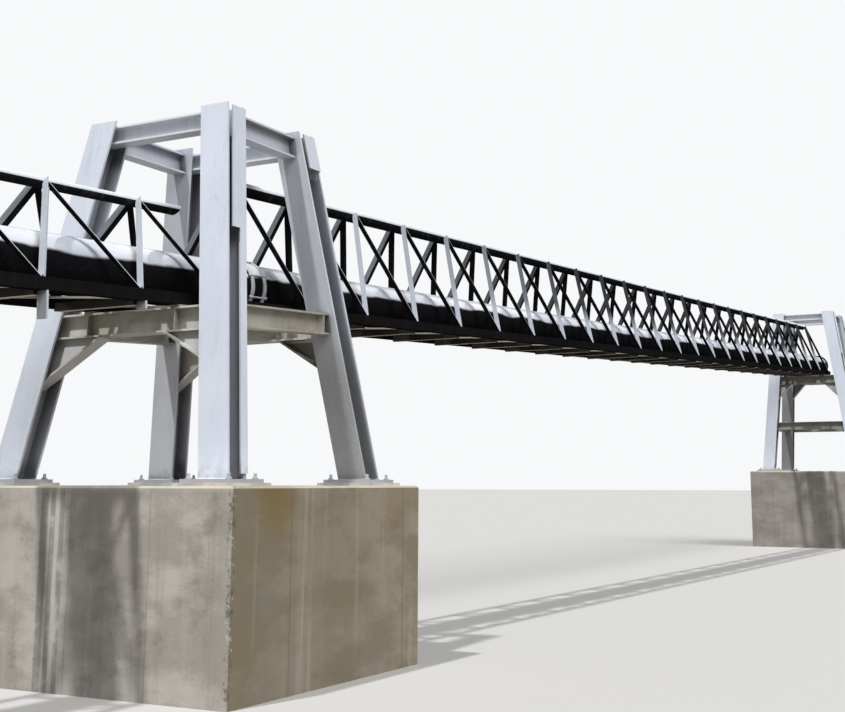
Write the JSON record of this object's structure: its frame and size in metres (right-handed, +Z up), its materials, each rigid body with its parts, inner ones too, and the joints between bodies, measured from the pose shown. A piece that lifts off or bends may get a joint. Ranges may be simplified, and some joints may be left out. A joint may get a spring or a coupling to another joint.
{
  "type": "pipe truss bridge, 1:2 scale model",
  "caption": "Triangular steel truss bridge carrying a large pipe between battered portal towers on concrete pedestals, as a 1:2 scale model.",
  "frame": {"origin": "middle of the first pedestal's underside, at ground level", "axes": "+X along the bridge from the low approach end to the high end, +Y to the left, +Z up"},
  "size_m": [24.0286, 2.378, 4.363],
  "materials": {
    "concrete": "cast against boards, stained",
    "grout": "trowelled",
    "leg_paint": "satin light grey",
    "ring_paint": "satin warm grey",
    "truss_paint": "satin black, bleached pale on its upper faces",
    "web_paint": "satin black, bleached pale on its upper faces",
    "pipe_coating": "gloss black"
  },
  "bodies": {
    "root": {"approach_bottom_chord_left": "truss_paint", "approach_bottom_chord_right": "truss_paint", "approach_bottom_lacing": "truss_paint", "approach_cross_beams": "truss_paint", "approach_hanger_plates": "truss_paint", "approach_pipe_saddles": "truss_paint", "approach_top_chord": "truss_paint", "approach_web_left": "web_paint", "approach_web_right": "web_paint", "main_bottom_chord_left": "truss_paint", "main_bottom_chord_right": "truss_paint", "main_bottom_lacing": "truss_paint", "main_cross_beams": "truss_paint", "main_pipe_saddles": "truss_paint", "main_top_chord": "truss_paint", "main_web_left": "web_paint", "main_web_right": "web_paint", "pedestal_1": "concrete", "pedestal_2": "concrete", "pipe": "pipe_coating", "pipe_coupling": "pipe_coating", "pipe_end_flange_front": "pipe_coating", "pipe_end_flange_rear": "pipe_coating", "tower_1_base_plates": "leg_paint", "tower_1_bearings": "ring_paint", "tower_1_cover_plates": "leg_paint", "tower_1_grout_pads": "grout", "tower_1_leg_left_front": "leg_paint", "tower_1_leg_left_rear": "leg_paint", "tower_1_leg_right_front": "leg_paint", "tower_1_leg_right_rear": "leg_paint", "tower_1_seat_beams": "ring_paint", "tower_1_seat_side_beams": "ring_paint", "tower_1_top_cross_beams": "leg_paint", "tower_1_top_side_beams": "leg_paint", "tower_2_base_plates": "leg_paint", "tower_2_bearings": "ring_paint", "tower_2_cover_plates": "leg_paint", "tower_2_grout_pads": "grout", "tower_2_leg_left_front": "leg_paint", "tower_2_leg_left_rear": "leg_paint", "tower_2_leg_right_front": "leg_paint", "tower_2_leg_right_rear": "leg_paint", "tower_2_lower_cross_beams": "ring_paint", "tower_2_lower_side_beams": "ring_paint", "tower_2_seat_beams": "ring_paint", "tower_2_seat_side_beams": "ring_paint", "tower_2_top_cross_beams": "leg_paint", "tower_2_top_side_beams": "leg_paint"}
  },
  "joints": []
}
